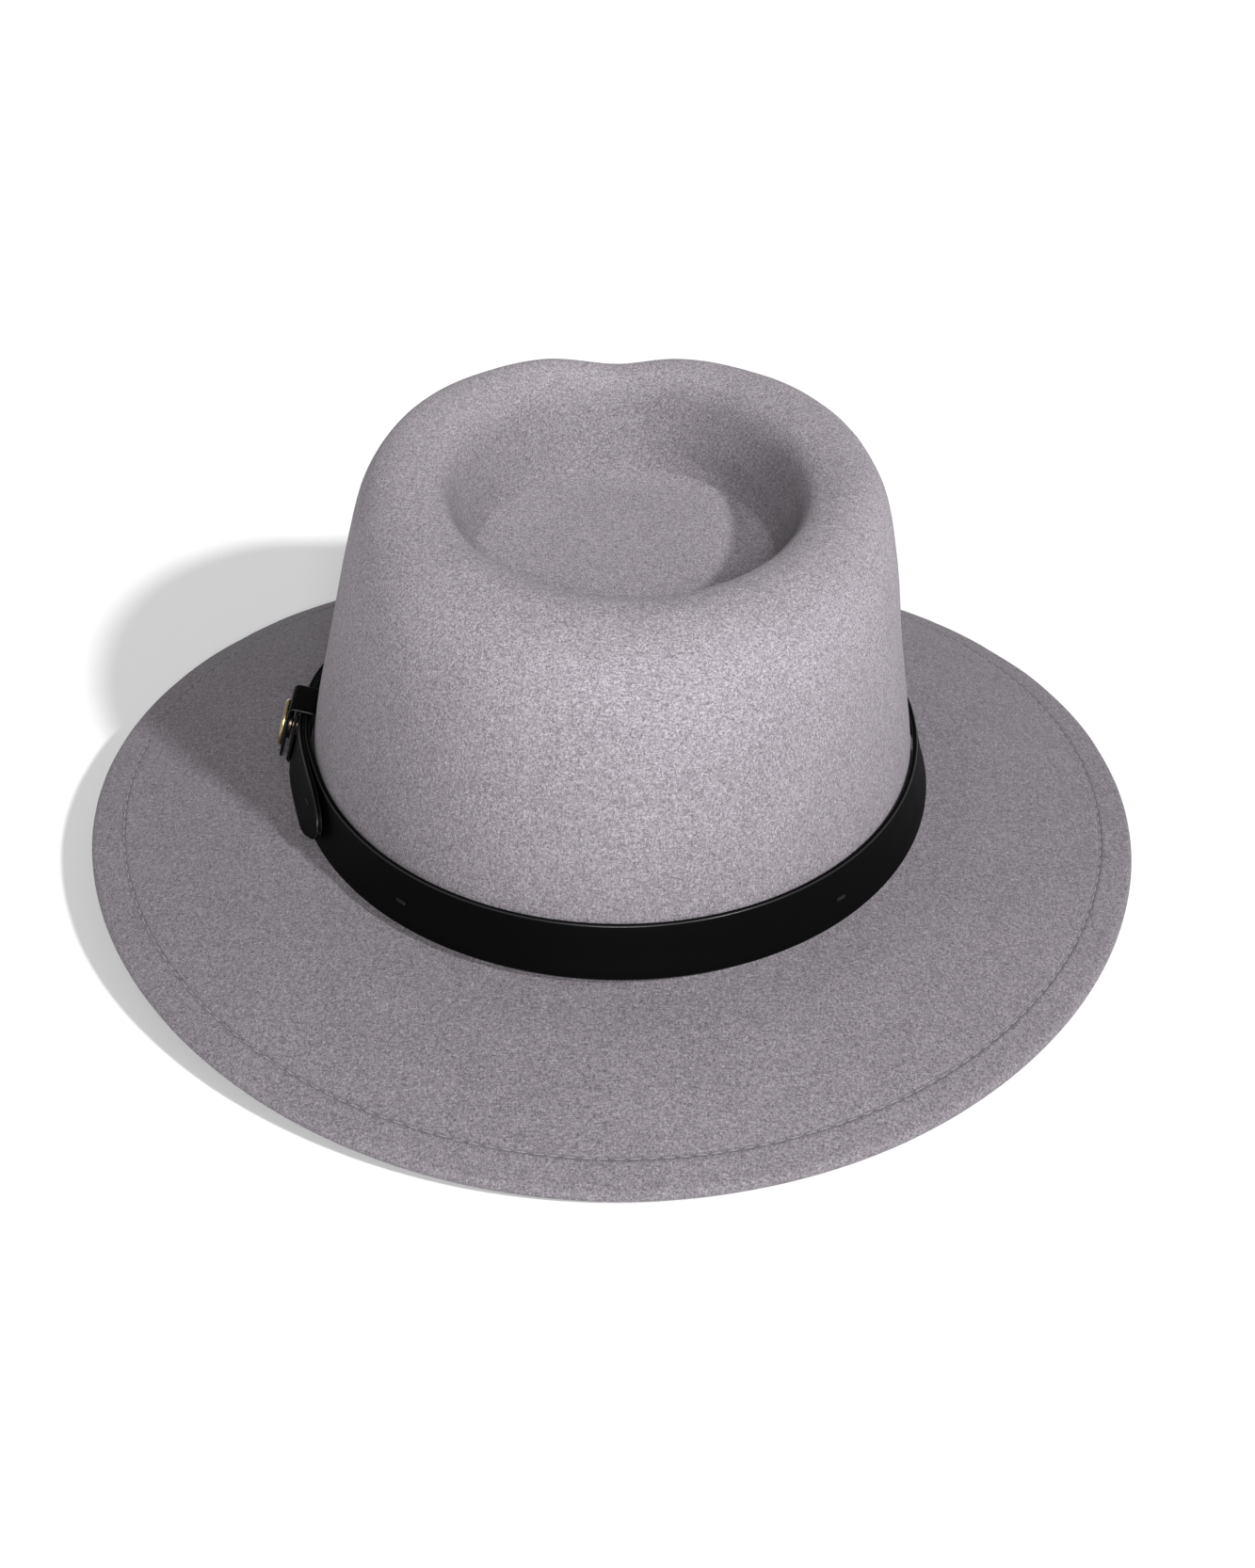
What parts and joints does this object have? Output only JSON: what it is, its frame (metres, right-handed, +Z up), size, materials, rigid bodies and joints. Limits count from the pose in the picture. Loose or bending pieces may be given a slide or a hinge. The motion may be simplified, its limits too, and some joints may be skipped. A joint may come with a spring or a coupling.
{
  "type": "fedora hat",
  "caption": "Wool felt fedora with a teardrop crown, stitched welt brim, black leather strap band with a press-stud keeper, and a sweatband inside.",
  "frame": {"origin": "middle of the hat's outline on the surface its brim rests on", "axes": "+Z up through the crown, front of the hat towards -Y, wearer's left (the side with the keeper) towards +X"},
  "size_m": [0.297, 0.3204, 0.1122],
  "materials": {
    "felt": "matte felted wool, grey melange",
    "steel": "drawn wire",
    "thread": "twisted polyester thread",
    "strap_leather": "smooth black, low gloss",
    "tack": "doubled black thread",
    "antique_brass": "antique, darkened in the recess",
    "sweat_leather": "soft dark grey",
    "reed_plastic": "translucent white cord",
    "tape_cloth": "black grosgrain",
    "sweat_thread": "grey thread",
    "label_cloth": "blank woven label"
  },
  "bodies": {
    "root": {"crown_felt": "felt", "brim_felt": "felt", "brim_wire": "steel", "wire_joiner": "steel", "brim_stitches": "thread", "hat_band": "strap_leather", "tip_tack": "tack", "band_tacks": "tack", "keeper_wrap": "strap_leather", "snap_stud": "antique_brass", "snap_eyelet": "antique_brass", "sweatband": "sweat_leather", "sweatband_reed": "reed_plastic", "reed_tape": "tape_cloth", "sweatband_stitches": "sweat_thread", "sweatband_bow": "tape_cloth", "size_label": "label_cloth"},
    "keeper": {"keeper_flap": "strap_leather", "snap_cap": "antique_brass", "snap_socket": "antique_brass", "snap_spring": "steel"}
  },
  "joints": [
    {"name": "keeper_hinge", "type": "hinge", "parent": "root", "child": "keeper", "pos_m": [0.09145, -0.00558, 0.04249], "axis": [-0.0441, -0.999, 0], "range_deg": [0, 100]}
  ]
}
